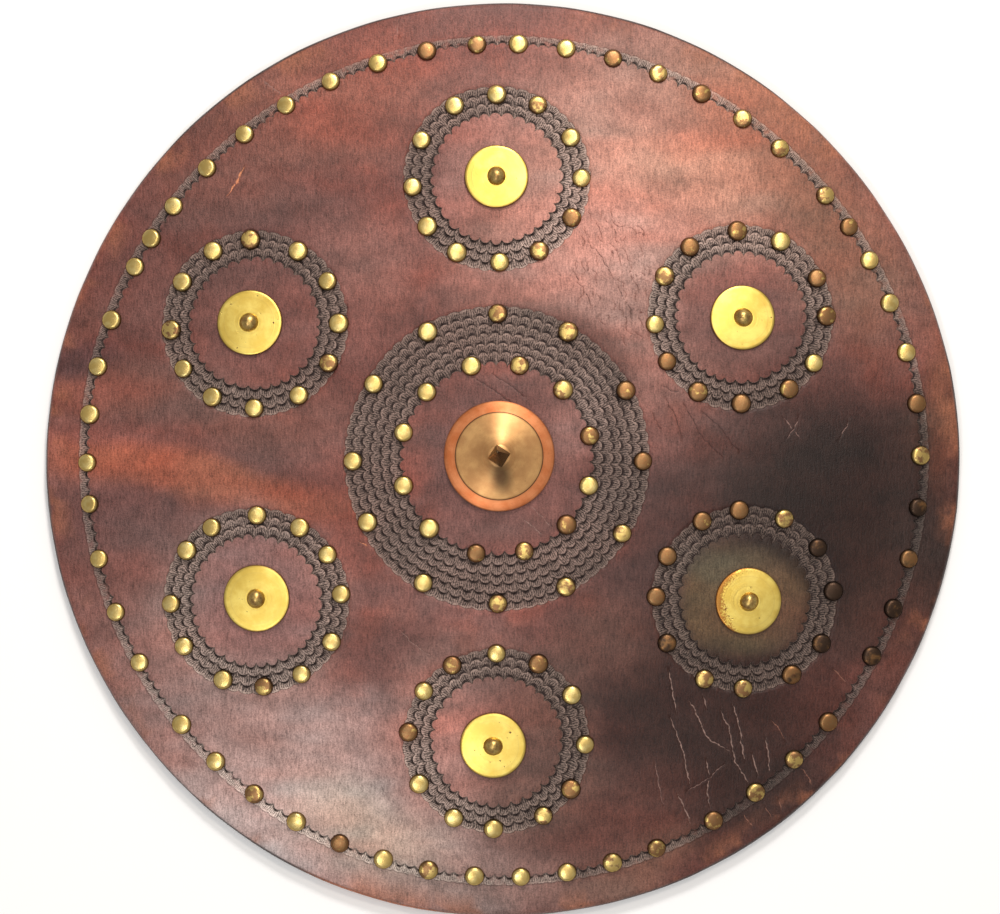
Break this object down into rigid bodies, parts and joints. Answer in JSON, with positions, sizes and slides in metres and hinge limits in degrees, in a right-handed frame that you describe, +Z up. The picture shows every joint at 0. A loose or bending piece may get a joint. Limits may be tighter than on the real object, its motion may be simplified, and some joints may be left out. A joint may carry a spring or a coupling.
{
  "type": "hide shield",
  "caption": "Round dished hide shield with a spiked brass boss, brass roundels, stamped rings of crescents and domed nails, lying face up on its rim.",
  "frame": {"origin": "ground point under the middle of the disc, which lies on its rim with its face up", "axes": "+Z up out of the face and along the spike, +Y towards the top of the face, +X to its right as seen from the front"},
  "size_m": [0.5002, 0.4998, 0.0666],
  "materials": {
    "hide": "thick polished hide, reddish brown, stamped and worn",
    "strap_leather": "plain dark strap leather",
    "nail_brass": "tarnished brass, rubbed bright on the domes",
    "roundel_brass": "bright yellow sheet brass, slightly tarnished",
    "rivet_brass": "dark aged brass",
    "boss_brass": "turned copper-toned brass, satin",
    "spike_brass": "dark patinated brass, filed facets"
  },
  "bodies": {
    "root": {"hide_disc": "hide", "hub_inner_nail_01": "nail_brass", "hub_inner_nail_02": "nail_brass", "hub_inner_nail_03": "nail_brass", "hub_inner_nail_04": "nail_brass", "hub_inner_nail_05": "nail_brass", "hub_inner_nail_06": "nail_brass", "hub_inner_nail_07": "nail_brass", "hub_inner_nail_08": "nail_brass", "hub_inner_nail_09": "nail_brass", "hub_inner_nail_10": "nail_brass", "hub_inner_nail_11": "nail_brass", "hub_inner_nail_12": "nail_brass", "hub_outer_nail_01": "nail_brass", "hub_outer_nail_02": "nail_brass", "hub_outer_nail_03": "nail_brass", "hub_outer_nail_04": "nail_brass", "hub_outer_nail_05": "nail_brass", "hub_outer_nail_06": "nail_brass", "hub_outer_nail_07": "nail_brass", "hub_outer_nail_08": "nail_brass", "hub_outer_nail_09": "nail_brass", "hub_outer_nail_10": "nail_brass", "hub_outer_nail_11": "nail_brass", "hub_outer_nail_12": "nail_brass", "roundel_top": "roundel_brass", "roundel_upper_right": "roundel_brass", "roundel_lower_right": "roundel_brass", "roundel_bottom": "roundel_brass", "roundel_lower_left": "roundel_brass", "roundel_upper_left": "roundel_brass", "rivet_top": "rivet_brass", "rivet_upper_right": "rivet_brass", "rivet_lower_right": "rivet_brass", "rivet_bottom": "rivet_brass", "rivet_lower_left": "rivet_brass", "rivet_upper_left": "rivet_brass", "boss": "boss_brass", "boss_spike": "spike_brass", "arm_strap": "strap_leather", "arm_strap_rivet_upper_left": "rivet_brass", "arm_strap_rivet_lower_left": "rivet_brass", "hand_strap": "strap_leather", "hand_strap_rivet_upper_right": "rivet_brass", "hand_strap_rivet_lower_right": "rivet_brass"}
  },
  "joints": []
}
